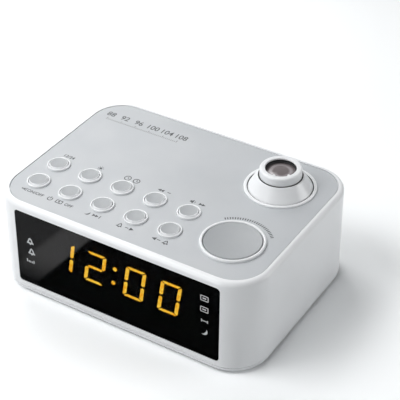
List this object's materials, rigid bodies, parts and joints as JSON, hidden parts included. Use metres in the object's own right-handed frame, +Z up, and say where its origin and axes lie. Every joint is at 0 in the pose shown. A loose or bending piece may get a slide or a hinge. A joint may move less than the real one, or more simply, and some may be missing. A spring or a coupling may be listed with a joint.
{
  "type": "projection alarm clock",
  "caption": "Bedside alarm clock with a leaning front display, round top keys, a large snooze key and a swivelling, tilting time projector with a focus ring.",
  "frame": {"origin": "on the table under the middle of the clock's box", "axes": "+X to the clock's right as its display is read, +Y from the display to the back, +Z up"},
  "size_m": [0.1664, 0.1193, 0.0724],
  "materials": {
    "shell": "moulded white ABS, fine satin gloss",
    "plate": "silver sprayed plate, satin",
    "key_grey": "silver-grey satin",
    "window": "smoked clear acrylic, polished",
    "lit_segment": "lit amber diffuser",
    "black_moulding": "black moulded plastic",
    "circuit_board": "green solder mask",
    "plated_steel": "zinc plated steel",
    "rubber": "moulded black rubber",
    "paper_cone": "pressed black paper",
    "ferrite": "sintered ferrite",
    "lead_sheath": "black cable sheath",
    "led_resin": "red tinted resin",
    "lens_glass": "polished clear"
  },
  "bodies": {
    "case": {"upper_shell": "shell", "top_plate": "plate", "base_cover": "shell", "battery_contacts": "plated_steel", "rubber_feet": "rubber", "case_screws": "plated_steel", "board_screws": "plated_steel", "projector_screws": "plated_steel", "speaker_screws": "plated_steel", "display_window": "window", "display_frame": "black_moulding", "led_module": "black_moulding", "display_segments": "lit_segment", "display_board": "circuit_board", "key_board": "circuit_board", "key_switches": "black_moulding", "projector_socket": "shell", "projector_retainer": "black_moulding", "speaker_frame": "plated_steel", "speaker_cone": "paper_cone", "speaker_magnet": "ferrite", "main_board": "circuit_board", "board_parts": "black_moulding", "dc_inlet": "black_moulding", "aux_jack": "black_moulding", "aerial_grommet": "rubber", "projector_lead": "lead_sheath"},
    "key_1": {"button_1": "shell", "button_insert_1": "key_grey"},
    "key_2": {"button_2": "shell", "button_insert_2": "key_grey"},
    "key_3": {"button_3": "shell", "button_insert_3": "key_grey"},
    "key_4": {"button_4": "shell", "button_insert_4": "key_grey"},
    "key_5": {"button_5": "shell", "button_insert_5": "key_grey"},
    "key_6": {"button_6": "shell", "button_insert_6": "key_grey"},
    "key_7": {"button_7": "shell", "button_insert_7": "key_grey"},
    "key_8": {"button_8": "shell", "button_insert_8": "key_grey"},
    "key_9": {"button_9": "shell", "button_insert_9": "key_grey"},
    "key_10": {"button_10": "shell", "button_insert_10": "key_grey"},
    "snooze_key": {"snooze_button": "key_grey", "snooze_insert": "key_grey"},
    "projector_swivel": {"swivel_cradle": "black_moulding"},
    "projector_head": {"projector_dome": "shell", "projector_led_board": "circuit_board", "projector_led": "led_resin", "light_tube": "black_moulding", "projector_lcd": "lens_glass"},
    "focus": {"focus_ring": "shell"},
    "lens": {"lens_carrier": "black_moulding", "projector_lens": "lens_glass"},
    "battery_hatch": {"battery_door": "shell"}
  },
  "joints": [
    {"name": "key_1_press", "type": "slide", "parent": "case", "child": "key_1", "axis": [0, 0, -1], "range_m": [0, 0.0008], "stiffness_N_per_m": 1500},
    {"name": "key_2_press", "type": "slide", "parent": "case", "child": "key_2", "axis": [0, 0, -1], "range_m": [0, 0.0008], "stiffness_N_per_m": 1500},
    {"name": "key_3_press", "type": "slide", "parent": "case", "child": "key_3", "axis": [0, 0, -1], "range_m": [0, 0.0008], "stiffness_N_per_m": 1500},
    {"name": "key_4_press", "type": "slide", "parent": "case", "child": "key_4", "axis": [0, 0, -1], "range_m": [0, 0.0008], "stiffness_N_per_m": 1500},
    {"name": "key_5_press", "type": "slide", "parent": "case", "child": "key_5", "axis": [0, 0, -1], "range_m": [0, 0.0008], "stiffness_N_per_m": 1500},
    {"name": "key_6_press", "type": "slide", "parent": "case", "child": "key_6", "axis": [0, 0, -1], "range_m": [0, 0.0008], "stiffness_N_per_m": 1500},
    {"name": "key_7_press", "type": "slide", "parent": "case", "child": "key_7", "axis": [0, 0, -1], "range_m": [0, 0.0008], "stiffness_N_per_m": 1500},
    {"name": "key_8_press", "type": "slide", "parent": "case", "child": "key_8", "axis": [0, 0, -1], "range_m": [0, 0.0008], "stiffness_N_per_m": 1500},
    {"name": "key_9_press", "type": "slide", "parent": "case", "child": "key_9", "axis": [0, 0, -1], "range_m": [0, 0.0008], "stiffness_N_per_m": 1500},
    {"name": "key_10_press", "type": "slide", "parent": "case", "child": "key_10", "axis": [0, 0, -1], "range_m": [0, 0.0008], "stiffness_N_per_m": 1500},
    {"name": "snooze_press", "type": "slide", "parent": "case", "child": "snooze_key", "axis": [0, 0, -1], "range_m": [0, 0.0008], "stiffness_N_per_m": 2000},
    {"name": "projector_turn", "type": "hinge", "parent": "case", "child": "projector_swivel", "pos_m": [0.0511, 0.02963, 0.0527], "axis": [0, 0, 1], "range_deg": [-90, 90]},
    {"name": "projector_tilt", "type": "hinge", "parent": "projector_swivel", "child": "projector_head", "pos_m": [0.0511, 0.02963, 0.0527], "axis": [1, 0, 0], "range_deg": [-15, 15]},
    {"name": "focus_turn", "type": "hinge", "parent": "projector_head", "child": "focus", "pos_m": [0.0511, 0.02963, 0.066], "axis": [0, 0, 1], "range_deg": [-90, 90]},
    {"name": "lens_focus", "type": "slide", "parent": "projector_head", "child": "lens", "axis": [0, 0, 1], "range_m": [-0.00076, 0.00076]},
    {"name": "battery_door_lift", "type": "slide", "parent": "case", "child": "battery_hatch", "axis": [0, 0, -1], "range_m": [0, 0.012]}
  ],
  "couplings": [
    {"joint": "lens_focus", "follows": "focus_turn", "m_per_rad": 0.0004775}
  ]
}
